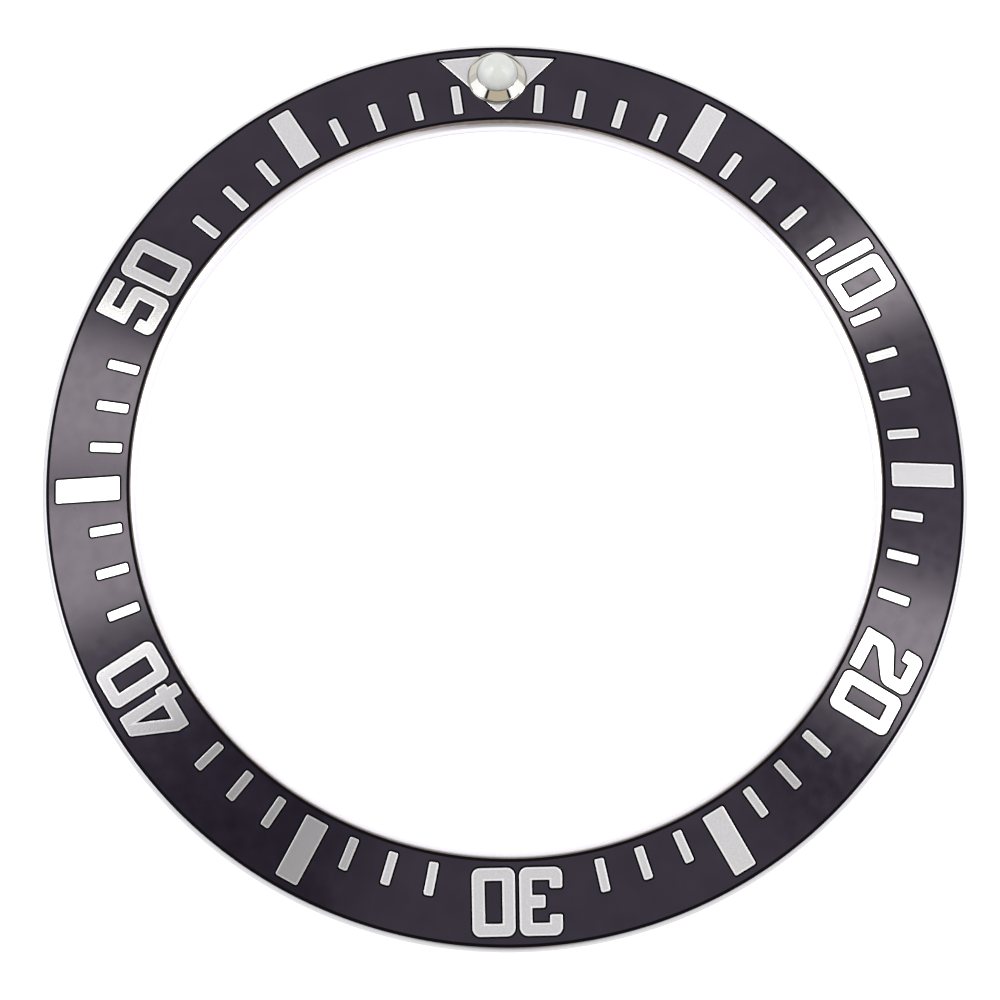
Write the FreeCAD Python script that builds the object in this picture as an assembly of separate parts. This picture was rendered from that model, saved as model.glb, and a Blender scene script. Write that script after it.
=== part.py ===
import FreeCAD, Part

import math
import os

Vector = FreeCAD.Vector

# A rotating bezel's insert: a shallow aluminium cone with a black face, an engraved and
# filled minute scale, and a pearl at the sixty mark.
# The origin is on the ring's axis, in the plane of the seat on its back.
# +Z runs along the axis, out of the face. +Y points to the sixty mark, +X to the fifteen.
# Lengths are in millimetres. Sizes across the face are taken square to the axis.

# Ring
outer_diameter = 38.0
ring_width = 3.9
face_slope_deg = 13.3
rim_height = 0.5
outer_chamfer_width = 0.175
bore_chamfer_width = 0.23
seat_width = 0.9

# Pockets cut in the face, and the lacquer that fills them
pocket_depth = 0.1
fill_gap = 0.045
fill_set_back = 0.015

# Bars at the odd five-minute places, as long as the face has room for, and minute marks
# that start on the same circle
marks_bore_clearance = 0.43
marks_rim_clearance = 0.405
bar_width = 0.98
minute_mark_length = 1.33
minute_mark_width = 0.38

# Numerals, as high as the face has room for. Minute marks that would crowd them are left out.
numeral_bore_clearance = 0.37
numeral_rim_clearance = 0.435
numeral_side_clearance = 0.15
digit_width = 1.72
digit_stroke = 0.51
digit_gap = 0.17
four_gap = 0.15
digit_round = 0.33
two_shoulder_round = 0.45
two_hip_round = 0.53

# Places in the digits: heights are shares of the digit's height, widths of its width.
arm_height_share = 0.312
two_heel_height_share = 0.074
two_rise_height_share = 0.309
two_drop_height_share = 0.223
three_stub_width_share = 0.308
four_bar_height_share = 0.145
four_inset_width_share = 0.5
four_spur_width_share = 0.116
five_inset_width_share = 0.064
five_drop_height_share = 0.342

# Triangle at the sixty mark, with its point towards the bore
triangle_bore_clearance = 0.4
triangle_side_clearance = 0.35

# Pearl: a lacquered dome in a polished metal cup, on a stem through the ring
pearl_rim_clearance = 0.215
holder_foot_radius = 1.26
holder_foot_height = 0.06
holder_brim_width = 0.08
holder_height = 0.375
holder_lip_width = 0.035
holder_floor_height = 0.1
stem_radius = 0.6
stem_set_back = 0.06
cement_thickness = 0.05
cement_set_back = 0.1
dome_radius = 0.83
dome_skirt_height = 0.08
dome_clearance = 0.01

# Cutters run past the faces that they cut by this much.
overrun = 1.0

# Angles and places round the scale
full_turn_deg = 360
minute_deg = 6
seam_minute = 12.5
turn_minutes = full_turn_deg // minute_deg

# A corner's round may take this much of the shorter side beside it.
round_limit_share = 0.45

# Sizes that follow from the ones above
outer_radius = outer_diameter / 2
bore_radius = outer_radius - ring_width
slope = math.radians(face_slope_deg)
rise = math.tan(slope)
face_outer_radius = outer_radius - outer_chamfer_width
face_inner_radius = bore_radius + bore_chamfer_width
seat_inner_radius = outer_radius - seat_width
marks_inner_radius = face_inner_radius + marks_bore_clearance
marks_outer_radius = face_outer_radius - marks_rim_clearance
bar_length = marks_outer_radius - marks_inner_radius
numeral_base_radius = face_inner_radius + numeral_bore_clearance
digit_height = face_outer_radius - numeral_rim_clearance - numeral_base_radius
arm_height = digit_height * arm_height_share
four_spur_width = digit_width * four_spur_width_share
triangle_apex_radius = face_inner_radius + triangle_bore_clearance
pearl_place_radius = face_outer_radius - pearl_rim_clearance - holder_foot_radius
axis = Vector(0, 0, 1)


def face_height(radius):
    """Height of the black face, or of the cone that carries it on, at a distance from the axis."""
    return rim_height + outer_chamfer_width + (face_outer_radius - radius) * rise


def relief_height(radius):
    """Height of the hollow back, which runs parallel to the face from the seat inwards."""
    return (seat_inner_radius - radius) * rise


def turned(profile):
    """A solid of revolution about the ring's axis. Its seam lies between two marks."""
    points = [Vector(radius, 0, height) for radius, height in profile]
    section = Part.Face(Part.makePolygon(points + points[:1]))
    section.rotate(Vector(), axis, -seam_minute * minute_deg)
    return section.revolve(Vector(), axis, full_turn_deg)


def at_minute(shape, minute):
    """The shape, drawn at the sixty mark, turned clockwise to a minute of the scale."""
    moved = shape.copy()
    moved.rotate(Vector(), axis, -minute * minute_deg)
    return moved


def ring_blank():
    """The turned ring: flat seat, straight rim, two bare chamfers, sloped face and hollow back."""
    chamfer_foot = face_height(face_inner_radius) - bore_chamfer_width
    return turned([
        (seat_inner_radius, 0),
        (outer_radius, 0),
        (outer_radius, rim_height),
        (face_outer_radius, face_height(face_outer_radius)),
        (face_inner_radius, face_height(face_inner_radius)),
        (bore_radius, chamfer_foot),
        (bore_radius, relief_height(bore_radius)),
    ])


def layer_profile(top):
    """Section of a layer that follows the face, from one depth below it to the pockets' floors."""
    inner = bore_radius - overrun
    outer = outer_radius + overrun
    return [
        (inner, face_height(inner) - pocket_depth),
        (outer, face_height(outer) - pocket_depth),
        (outer, face_height(outer) - top),
        (inner, face_height(inner) - top),
    ]


def curved_layer(top):
    """The layer all round the ring, as conical as the face."""
    return turned(layer_profile(top))


def level_layer(top):
    """The layer at the sixty mark with level top and floor, for marks too narrow to curve."""
    points = [Vector(-bar_width, radius, height) for radius, height in layer_profile(top)]
    section = Part.Face(Part.makePolygon(points + points[:1]))
    return section.extrude(Vector(2 * bar_width, 0, 0))


def corner_round(before, corner, after, radius):
    """Start, middle and end of the arc that rounds a corner, no larger than its sides allow."""
    inward = (before - corner).normalize()
    outward = (after - corner).normalize()
    half_angle = inward.getAngle(outward) / 2
    room = min((before - corner).Length, (after - corner).Length) * round_limit_share
    trim = min(radius / math.tan(half_angle), room)
    radius = trim * math.tan(half_angle)
    bisector = (inward + outward).normalize()
    centre_distance = radius / math.sin(half_angle)
    middle = corner + bisector * (centre_distance - radius)
    return corner + inward * trim, middle, corner + outward * trim


def outlined(corners):
    """A flat face inside an outline. Each corner is an x, a y and the radius of its round."""
    points = [Vector(x, y, 0) for x, y, _ in corners]
    stretches = []
    for index, (_, _, radius) in enumerate(corners):
        before = points[index - 1]
        after = points[(index + 1) % len(points)]
        if radius > 0:
            stretches.append(corner_round(before, points[index], after, radius))
        else:
            stretches.append((points[index],))
    edges = []
    for index, stretch in enumerate(stretches):
        if len(stretch) > 1:
            edges.append(Part.Arc(*stretch).toShape())
        start = stretch[-1]
        end = stretches[(index + 1) % len(stretches)][0]
        edges.append(Part.LineSegment(start, end).toShape())
    return Part.Face(Part.Wire(edges))


def upright_bar(width, length, corner=0):
    """An upright rectangle, from its lower left corner."""
    return outlined([
        (0, 0, corner),
        (width, 0, corner),
        (width, length, corner),
        (0, length, corner),
    ])


def pierced(body, counter):
    """A flat face with a counter cut out of it."""
    return body.cut(counter).Faces[0]


def zero():
    """A squared ring: round shoulders outside, a sharp rectangular counter inside."""
    body = upright_bar(digit_width, digit_height, digit_round)
    counter = outlined([
        (digit_stroke, digit_stroke, 0),
        (digit_width - digit_stroke, digit_stroke, 0),
        (digit_width - digit_stroke, digit_height - digit_stroke, 0),
        (digit_stroke, digit_height - digit_stroke, 0),
    ])
    return pierced(body, counter)


def one():
    """A plain upright stroke."""
    return upright_bar(digit_stroke, digit_height)


def two():
    """A squared two: a slanted stroke joins the right shoulder to the left foot."""
    inside_right = digit_width - digit_stroke
    inside_top = digit_height - digit_stroke
    arm_base = digit_height - arm_height
    heel = digit_stroke + digit_height * two_heel_height_share
    rise_height = digit_height * two_rise_height_share
    hip = arm_base - digit_height * two_drop_height_share
    elbow = hip + rise_height * inside_right / digit_width
    return outlined([
        (0, 0, 0),
        (digit_width, 0, 0),
        (digit_width, digit_stroke, 0),
        (digit_stroke, digit_stroke, 0),
        (digit_stroke, heel, 0),
        (digit_width, heel + rise_height, two_shoulder_round),
        (digit_width, digit_height, digit_round),
        (0, digit_height, digit_round),
        (0, arm_base, 0),
        (digit_stroke, arm_base, 0),
        (digit_stroke, inside_top, 0),
        (inside_right, inside_top, 0),
        (inside_right, elbow, 0),
        (0, hip, two_hip_round),
    ])


def three():
    """A squared three, open to the left, with a short middle stub."""
    inside_right = digit_width - digit_stroke
    stub_left = inside_right - digit_width * three_stub_width_share
    stub_base = (digit_height - digit_stroke) / 2
    stub_top = (digit_height + digit_stroke) / 2
    return outlined([
        (0, 0, digit_round),
        (digit_width, 0, digit_round),
        (digit_width, digit_height, digit_round),
        (0, digit_height, digit_round),
        (0, digit_height - arm_height, 0),
        (digit_stroke, digit_height - arm_height, 0),
        (digit_stroke, digit_height - digit_stroke, 0),
        (inside_right, digit_height - digit_stroke, 0),
        (inside_right, stub_top, 0),
        (stub_left, stub_top, 0),
        (stub_left, stub_base, 0),
        (inside_right, stub_base, 0),
        (inside_right, digit_stroke, 0),
        (digit_stroke, digit_stroke, 0),
        (digit_stroke, arm_height, 0),
        (0, arm_height, 0),
    ])


def four():
    """An angular four: a slanted left side, a low crossbar and a spur past the stem."""
    stem_left = digit_width - digit_stroke
    spur_end = digit_width + four_spur_width
    inset = digit_width * four_inset_width_share
    bar_base = digit_height * four_bar_height_share
    bar_top = bar_base + digit_stroke
    body = outlined([
        (stem_left, 0, 0),
        (digit_width, 0, 0),
        (digit_width, bar_base, 0),
        (spur_end, bar_base, 0),
        (spur_end, bar_top, 0),
        (digit_width, bar_top, 0),
        (digit_width, digit_height, 0),
        (inset, digit_height, 0),
        (0, bar_top, 0),
        (0, bar_base, 0),
        (stem_left, bar_base, 0),
    ])
    counter_top = digit_height - digit_stroke
    window = outlined([
        (0, bar_top, 0),
        (stem_left, bar_top, 0),
        (stem_left, counter_top, 0),
        (0, counter_top, 0),
    ])
    slanted_side = math.hypot(inset, digit_height - bar_top)
    slanted_width = digit_stroke * slanted_side / (digit_height - bar_top)
    slanted_stroke = outlined([
        (0, bar_base, 0),
        (slanted_width, bar_top, 0),
        (slanted_width + inset, digit_height, 0),
        (0, digit_height, 0),
    ])
    return pierced(body, window.cut(slanted_stroke))


def five():
    """A squared five: a flag at the top, a bowl open to the left below."""
    inside_right = digit_width - digit_stroke
    flag_end = digit_width - digit_width * five_inset_width_share
    belly_top = digit_height - digit_height * five_drop_height_share
    belly_base = belly_top - digit_stroke
    return outlined([
        (0, 0, digit_round),
        (digit_width, 0, digit_round),
        (digit_width, belly_top, digit_round),
        (digit_stroke, belly_top, 0),
        (digit_stroke, digit_height - digit_stroke, 0),
        (flag_end, digit_height - digit_stroke, 0),
        (flag_end, digit_height, 0),
        (0, digit_height, 0),
        (0, belly_base, 0),
        (inside_right, belly_base, 0),
        (inside_right, digit_stroke, 0),
        (digit_stroke, digit_stroke, 0),
        (digit_stroke, arm_height, 0),
        (0, arm_height, 0),
    ])


# Each tens digit: its word, its outline, its width and the gap to the zero that follows it
tens_digits = {
    10: ("one", one, digit_stroke, digit_gap),
    20: ("two", two, digit_width, digit_gap),
    30: ("three", three, digit_width, digit_gap),
    40: ("four", four, digit_width + four_spur_width, four_gap),
    50: ("five", five, digit_width, digit_gap),
}


def numeral_width(minute):
    """The width of a numeral's two digits and the gap between them."""
    _, _, width, gap = tens_digits[minute]
    return width + gap + digit_width


def numeral_outlines(minute):
    """The two digits of a numeral, tops outwards, centred on their minute."""
    word, draw, width, gap = tens_digits[minute]
    left = -numeral_width(minute) / 2
    tens = draw()
    tens.translate(Vector(left, numeral_base_radius, 0))
    units = zero()
    units.translate(Vector(left + width + gap, numeral_base_radius, 0))
    return {
        f"numeral_{minute}_{word}_fill": at_minute(tens, minute),
        f"numeral_{minute}_zero_fill": at_minute(units, minute),
    }


def has_room(minute):
    """Whether a minute mark stands clear of the numerals."""
    for numeral in tens_digits:
        arc = math.radians(abs(minute - numeral) * minute_deg) * marks_inner_radius
        if arc < (numeral_width(numeral) + minute_mark_width) / 2 + numeral_side_clearance:
            return False
    return True


def mark_outline(width, length):
    """A radial mark at sixty that starts on the marks' inner circle."""
    mark = upright_bar(width, length)
    mark.translate(Vector(-width / 2, marks_inner_radius, 0))
    return mark


def triangle_outline():
    """The triangle at sixty. Its sides clear the marks beside it and its base is an arc."""
    turn = math.radians(minute_deg)
    mark_end = marks_inner_radius + minute_mark_length
    corner_across = mark_end * math.sin(turn) - minute_mark_width / 2 * math.cos(turn)
    corner_out = mark_end * math.cos(turn) + minute_mark_width / 2 * math.sin(turn)
    flare = (corner_across - triangle_side_clearance) / (corner_out - triangle_apex_radius)
    reach = marks_outer_radius - triangle_apex_radius + overrun
    wedge = outlined([
        (0, triangle_apex_radius, 0),
        (reach * flare, triangle_apex_radius + reach, 0),
        (-reach * flare, triangle_apex_radius + reach, 0),
    ])
    disc = Part.Face(Part.Wire(Part.makeCircle(marks_outer_radius)))
    return wedge.common(disc).Faces[0]


def column(outline, widening):
    """An upright column over an outline, or over that outline widened with its corners sharp."""
    section = outline.makeOffset2D(widening, join=2) if widening > 0 else outline
    return section.extrude(Vector(0, 0, face_height(bore_radius) + overrun))


def scale_solids(widening, top):
    """Every mark from one depth down to its pocket's floor, under the name of its node."""
    curved = curved_layer(top)
    level = level_layer(top)
    bar = column(mark_outline(bar_width, bar_length), widening).common(level)
    minute_mark = column(mark_outline(minute_mark_width, minute_mark_length), widening).common(level)
    marks = {"triangle_fill": [column(triangle_outline(), widening).common(curved)]}
    for minute in tens_digits:
        for name, outline in numeral_outlines(minute).items():
            marks[name] = [column(outline, widening).common(curved)]
    for minute in range(5, turn_minutes, 10):
        marks[f"bar_{minute:02d}_fill"] = [at_minute(bar, minute)]
    for start in range(0, turn_minutes, 5):
        name = f"minute_marks_{start:02d}_to_{start + 5:02d}_fill"
        minutes = filter(has_room, range(start + 1, start + 5))
        marks[name] = [at_minute(minute_mark, minute) for minute in minutes]
    return marks


def pearl_axis():
    """The pearl's seat: the point on the face and the direction square to the face there."""
    seat = Vector(0, pearl_place_radius, face_height(pearl_place_radius))
    return seat, Vector(0, math.sin(slope), math.cos(slope))


def on_pearl_axis(solid):
    """A solid drawn upright over the origin, moved to the pearl's seat."""
    seat, direction = pearl_axis()
    moved = solid.copy()
    tilt = FreeCAD.Placement(seat, FreeCAD.Rotation(axis, direction))
    moved.Placement = tilt.multiply(solid.Placement)
    return moved


def turned_on_pearl_axis(profile):
    """A solid turned from a profile of (radius, height above the face) about the pearl's axis."""
    points = [Vector(radius, 0, height) for radius, height in profile]
    section = Part.Face(Part.makePolygon(points + points[:1]))
    return on_pearl_axis(section.revolve(Vector(), axis, full_turn_deg))


def wall_thickness():
    """The ring's wall between its face and its hollow back, square to both."""
    return (face_height(pearl_place_radius) - relief_height(pearl_place_radius)) * math.cos(slope)


def stem_hole():
    """The drilled hole that the pearl's stem is cemented into."""
    hole = Part.makeCylinder(
        stem_radius + cement_thickness,
        wall_thickness() + 2 * overrun,
        Vector(0, 0, -wall_thickness() - overrun),
    )
    return on_pearl_axis(hole)


def pearl_holder():
    """The turned cup: stem, flat foot with a thin brim, sloped wall and a narrow lip."""
    cup_radius = dome_radius + dome_clearance
    stem_end = stem_set_back - wall_thickness()
    return turned_on_pearl_axis([
        (0, stem_end),
        (stem_radius, stem_end),
        (stem_radius, 0),
        (holder_foot_radius, 0),
        (holder_foot_radius, holder_foot_height),
        (holder_foot_radius - holder_brim_width, holder_foot_height),
        (cup_radius + holder_lip_width, holder_height),
        (cup_radius, holder_height),
        (cup_radius, holder_floor_height),
        (0, holder_floor_height),
    ])


def pearl_lume():
    """The luminous pellet in the bottom of the cup, under the dome."""
    pellet_top = holder_height - dome_skirt_height
    return turned_on_pearl_axis([
        (0, holder_floor_height),
        (dome_radius, holder_floor_height),
        (dome_radius, pellet_top),
        (0, pellet_top),
    ])


def pearl_dome():
    """The half-round bead, with a short skirt that stands in the cup."""
    skirt_base = holder_height - dome_skirt_height
    top = Vector(0, 0, holder_height + dome_radius)
    side = Vector(dome_radius, 0, holder_height)
    shoulder = Vector(
        dome_radius * math.sin(math.pi / 4), 0, holder_height + dome_radius * math.cos(math.pi / 4)
    )
    profile = Part.Wire([
        Part.Arc(top, shoulder, side).toShape(),
        Part.makePolygon([side, Vector(dome_radius, 0, skirt_base), Vector(0, 0, skirt_base), top]),
    ])
    return on_pearl_axis(Part.Face(profile).revolve(Vector(), axis, full_turn_deg))


def pearl_cement():
    """The sleeve of cement between the stem and the wall of its hole."""
    bottom = cement_set_back - wall_thickness()
    top = -pocket_depth
    return turned_on_pearl_axis([
        (stem_radius, bottom),
        (stem_radius + cement_thickness, bottom),
        (stem_radius + cement_thickness, top),
        (stem_radius, top),
    ])


def insert_ring():
    """The ring with a pocket for every mark, each a hair wider than its lacquer, and a hole."""
    pockets = [pocket for group in scale_solids(fill_gap, -overrun).values() for pocket in group]
    return ring_blank().cut(pockets).cut(stem_hole())


def fills():
    """The lacquer in the pockets, set back just below the face. The stem runs through one."""
    marks = scale_solids(0, fill_set_back)
    hole = stem_hole()
    marks["triangle_fill"] = [mark.cut(hole) for mark in marks["triangle_fill"]]
    made = {}
    for name, group in marks.items():
        made[name] = Part.makeCompound([solid for mark in group for solid in mark.Solids])
    return made


def all_nodes():
    """Every piece of the insert, listed under its name."""
    nodes = {
        "insert_ring": insert_ring(),
        "pearl_holder": pearl_holder(),
        "pearl_lume": pearl_lume(),
        "pearl_dome": pearl_dome(),
        "pearl_cement": pearl_cement(),
    }
    nodes.update(fills())
    return nodes


os.makedirs("parts", exist_ok=True)
for name, shape in all_nodes().items():
    shape.exportStep(f"parts/{name}.step")
    print(name, len(shape.Solids), shape.isValid(), round(shape.Volume, 4))
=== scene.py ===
# %% [markdown]
# # The insert of a watch's rotating bezel
# The real part is a shallow cone of aluminium, 38 mm across, turned on a lathe. Its face is
# engraved with a minute scale, anodised black and filled with silver lacquer. A milky bead in
# a polished cup, the pearl, stands on the triangle at sixty.
#
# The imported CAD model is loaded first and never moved. It fixes where every piece belongs, so
# the pieces made below are dressed versions of its nodes, in the same metres and the same frame.

# %% Load the CAD frame
import math

import bmesh
import bpy
from mathutils import Matrix, Vector


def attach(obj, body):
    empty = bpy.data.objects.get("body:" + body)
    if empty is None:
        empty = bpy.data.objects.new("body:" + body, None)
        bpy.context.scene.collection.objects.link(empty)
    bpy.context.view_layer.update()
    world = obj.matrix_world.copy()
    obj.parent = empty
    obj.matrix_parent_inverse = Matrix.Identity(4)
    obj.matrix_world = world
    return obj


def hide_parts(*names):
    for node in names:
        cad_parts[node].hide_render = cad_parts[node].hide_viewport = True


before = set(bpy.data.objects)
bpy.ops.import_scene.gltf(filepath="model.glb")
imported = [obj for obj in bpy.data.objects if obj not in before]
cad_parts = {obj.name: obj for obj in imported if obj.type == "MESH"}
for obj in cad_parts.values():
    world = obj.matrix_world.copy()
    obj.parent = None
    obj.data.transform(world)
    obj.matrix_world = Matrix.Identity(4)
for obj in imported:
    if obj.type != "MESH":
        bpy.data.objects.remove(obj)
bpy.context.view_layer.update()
print("CAD nodes:", len(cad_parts))

# %% [markdown]
# ## Sizes
# A watch part is drawn in millimetres and Blender works in metres, so each size is written in
# millimetres and multiplied once. The face is a cone, so its height follows from the distance
# to the axis.

# %% Sizes of the turned ring, in millimetres
MM = 0.001
outer_radius = 19.0
bore_radius = 15.1
face_outer_radius = 18.825
face_inner_radius = 15.33
face_slope = math.radians(13.3)
rim_height = 0.5
seat_inner_radius = 18.1


def face_height(radius):
    """Height of the black face at a distance from the axis."""
    foot = rim_height + outer_radius - face_outer_radius
    return foot + (face_outer_radius - radius) * math.tan(face_slope)


print("the face's outer edge lies at", round(face_height(face_outer_radius), 3), "mm")
print("and its inner edge at", round(face_height(face_inner_radius), 3), "mm")

# %% [markdown]
# ## Working by hand, in code
# Blender's modelling operators act on whatever is selected, and the loaded CAD nodes start out
# selected. So every job begins by selecting one piece alone, and inside it the edges or faces
# are picked by where they are and which way they face. By hand that is box selection and a
# steady eye. A test in code picks the same elements on every run.

# %% Helpers for selecting
ELEMENT_MODES = {"verts": "VERT", "edges": "EDGE", "faces": "FACE"}


def only(piece):
    """Makes one object the only selected and the active one."""
    bpy.ops.object.select_all(action="DESELECT")
    piece.select_set(True)
    bpy.context.view_layer.objects.active = piece


def pick(kind, test):
    """Selects the elements of the mesh in edit mode that pass a test, and counts them."""
    bpy.ops.mesh.select_mode(type=ELEMENT_MODES[kind])
    bpy.ops.mesh.select_all(action="DESELECT")
    mesh = bpy.context.edit_object.data
    elements = [e for e in getattr(bmesh.from_edit_mesh(mesh), kind) if test(e)]
    for element in elements:
        element.select_set(True)
    bmesh.update_edit_mesh(mesh)
    return len(elements)


print("selected after loading:", len(bpy.context.selected_objects))

# %% [markdown]
# ## Turning on a lathe
# The ring, the pearl's cup and its bead are all lathe work. A circle is the first cut, and each
# further point of the profile is an extrusion of that circle, moved along the axis and resized.
# A Screw modifier would do the same, but this way every ring of edges stays easy to pick later.

# %% The lathe


def turned(name, profile, steps):
    """Turns (radius, height) points, in millimetres, about Z and stays in edit mode."""
    bpy.ops.object.select_all(action="DESELECT")
    radius, height = profile[0]
    bpy.ops.mesh.primitive_circle_add(vertices=steps, radius=radius * MM, location=(0, 0, 0))
    piece = bpy.context.object
    piece.name = name
    bpy.ops.object.mode_set(mode="EDIT")
    bpy.ops.mesh.select_mode(type="EDGE")
    bpy.ops.mesh.select_all(action="SELECT")
    bpy.ops.transform.translate(value=(0, 0, height * MM))
    for next_radius, next_height in profile[1:]:
        lift = (next_height - height) * MM
        bpy.ops.mesh.extrude_edges_move(TRANSFORM_OT_translate={"value": (0, 0, lift)})
        share = next_radius / radius
        bpy.ops.transform.resize(value=(share, share, 1), center_override=(0, 0, 0))
        radius, height = next_radius, next_height
    print(name, "turned from", len(profile), "circles of", steps, "points")
    return piece


def finish_turning():
    """Points the faces of the piece in edit mode outwards and leaves edit mode."""
    bpy.ops.mesh.select_all(action="SELECT")
    bpy.ops.mesh.normals_make_consistent(inside=False)
    bpy.ops.object.mode_set(mode="OBJECT")


# %% [markdown]
# ## The ring's blank
# The profile runs from the seat on the back, up the rim, over the bare outer chamfer, along the
# sloped face to the bare bore chamfer, and back under the hollow. Two extra circles on the face
# mark where the gloss ends in a band of painted shade beside each edge, so that the border
# between the two finishes is a clean circle of edges.

# %% Turn the blank
RING_STEPS = 720
outer_band_width = 0.12
inner_band_width = 0.16
shade_band_outside = face_outer_radius - outer_band_width
shade_band_inside = face_inner_radius + inner_band_width
chamfer_foot = face_height(face_inner_radius) - (face_inner_radius - bore_radius)
relief_top = (seat_inner_radius - bore_radius) * math.tan(face_slope)
ring_profile = [
    (seat_inner_radius, 0),
    (outer_radius, 0),
    (outer_radius, rim_height),
    (face_outer_radius, face_height(face_outer_radius)),
    (shade_band_outside, face_height(shade_band_outside)),
    (shade_band_inside, face_height(shade_band_inside)),
    (face_inner_radius, face_height(face_inner_radius)),
    (bore_radius, chamfer_foot),
    (bore_radius, relief_top),
]

ring = turned("ring_anodised", ring_profile, RING_STEPS)
pick("edges", lambda edge: edge.is_boundary)
bpy.ops.mesh.bridge_edge_loops()
bpy.ops.mesh.select_all(action="SELECT")
bpy.ops.mesh.normals_make_consistent(inside=False)
print("bore wall from", round(relief_top, 3), "to", round(chamfer_foot, 3), "mm")

# %% [markdown]
# ## Broken edges
# Real turned edges are never razor sharp, and a sharp edge catches no light. A bevel modifier
# would break them all alike, so each circle of corner edges gets its own bevel instead. The two
# that border the face are the widest: the black film rolls over there before the bare cut.

# %% Break the ring's edges
SAME_PLACE = 0.002
# radius and height of the corner, width of the break, number of segments
edge_breaks = [
    (outer_radius, 0, 0.04, 3),
    (outer_radius, rim_height, 0.05, 3),
    (face_outer_radius, face_height(face_outer_radius), 0.09, 5),
    (face_inner_radius, face_height(face_inner_radius), 0.12, 8),
    (bore_radius, chamfer_foot, 0.03, 2),
    (bore_radius, relief_top, 0.03, 2),
]


def radius_of(point):
    """Distance of a point from the ring's axis, in millimetres."""
    return math.hypot(point.x, point.y) / MM


def on_corner(vertex, radius, height):
    """Whether a vertex lies on a corner circle of the profile."""
    off_height = abs(vertex.co.z / MM - height)
    return abs(radius_of(vertex.co) - radius) < SAME_PLACE and off_height < SAME_PLACE


def break_edge(radius, height, width, segments):
    """Bevels one circle of corner edges of the piece in edit mode."""
    found = pick("edges", lambda edge: all(on_corner(v, radius, height) for v in edge.verts))
    bpy.ops.mesh.bevel(offset=width * MM, segments=segments, affect="EDGES", clamp_overlap=False)
    print("edge break at radius", round(radius, 3), "on", found, "edges")


for edge_break in edge_breaks:
    break_edge(*edge_break)
finish_turning()

# %% [markdown]
# ## The lacquer fills
# Each mark of the scale is a drop of silver lacquer in an engraved pocket. The digits could be
# drawn again here, but the CAD fills have the right outlines, so copies of them are the start.
# Their loose triangles are merged into one skin with few faces, which bevels need.

# %% Copy the fills
BLUNT_END = 0.04
CLEAR_CORNER = math.radians(35)
NEARLY_FLAT = math.radians(3)
UPRIGHT_SHARE = 0.8
TOUCHING = 1e-7


def is_upright(edge):
    """Whether an edge runs up the wall of a mark."""
    side = edge.verts[0].co - edge.verts[1].co
    return abs(side.z) > UPRIGHT_SHARE * side.length


def is_blunt_end(edge):
    """Whether an edge is the tiny flat between two inner corners of a mark."""
    if edge.calc_length() > BLUNT_END * MM:
        return False
    walls = [[side for side in v.link_edges if is_upright(side)] for v in edge.verts]
    return all(any(side.calc_face_angle_signed() < -CLEAR_CORNER for side in w) for w in walls)


def copied_fill(node_name, piece_name):
    """A copy of a CAD fill, merged into one closed skin of few faces."""
    piece = bpy.data.objects.new(piece_name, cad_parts[node_name].data.copy())
    piece.data.materials.clear()
    bpy.context.scene.collection.objects.link(piece)
    only(piece)
    bpy.ops.mesh.customdata_custom_splitnormals_clear()
    bpy.ops.object.mode_set(mode="EDIT")
    bpy.ops.mesh.select_all(action="SELECT")
    bpy.ops.mesh.remove_doubles(threshold=TOUCHING)
    bpy.ops.mesh.dissolve_limited(angle_limit=NEARLY_FLAT)
    if pick("edges", is_blunt_end):
        print("blunt end pointed on", piece_name)
        bpy.ops.mesh.merge(type="COLLAPSE")
    bpy.ops.object.mode_set(mode="OBJECT")
    return piece


fills = {}
for node_name in sorted(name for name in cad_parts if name.endswith("_fill")):
    fills[node_name] = copied_fill(node_name, node_name.replace("_fill", "_lacquer"))
print("fills:", len(fills))

# %% [markdown]
# ## Cutters for the pockets
# A pocket is a little wider than its lacquer, which leaves the hairline shadow round every
# mark. So each cutter starts as a copy of its fill. Without its two lids only the walls are
# left, and they can be pushed sideways by the gap. Then the walls are raised above the face
# and the lids are filled in again. An engraving cutter is round, so every upright outer corner
# is rounded, by the lacquer's own radius plus the gap.

# %% Make a cutter for each mark
pocket_depth = 0.1
fill_gap = 0.07
CORNER_ROUND = 0.08
CORNER_STEPS = 4
CUTTER_LIFT = 0.3
WALL_TILT = 0.5


def depth_below_face(point):
    """How far a point, in metres, lies under the cone of the face, in millimetres."""
    return face_height(radius_of(point)) - point.z / MM


def is_top(point):
    """Whether a point of a mark belongs to its upper side."""
    return depth_below_face(point) < pocket_depth / 2


def is_outer_corner(edge):
    """Whether the two faces at an edge form a clear corner that points outwards."""
    return edge.is_manifold and edge.calc_face_angle_signed() > CLEAR_CORNER


def round_corners(width):
    """Rounds the upright corner edges of the piece in edit mode."""
    pick("edges", lambda edge: is_upright(edge) and is_outer_corner(edge))
    bpy.ops.mesh.bevel(
        offset=width * MM, segments=CORNER_STEPS, affect="EDGES", clamp_overlap=False)


def fill_lid(level):
    """Closes the open edges of the piece in edit mode at one of its two levels."""
    pick("edges", lambda edge: edge.is_boundary and all(level(v.co) for v in edge.verts))
    bpy.ops.mesh.fill()


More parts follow.
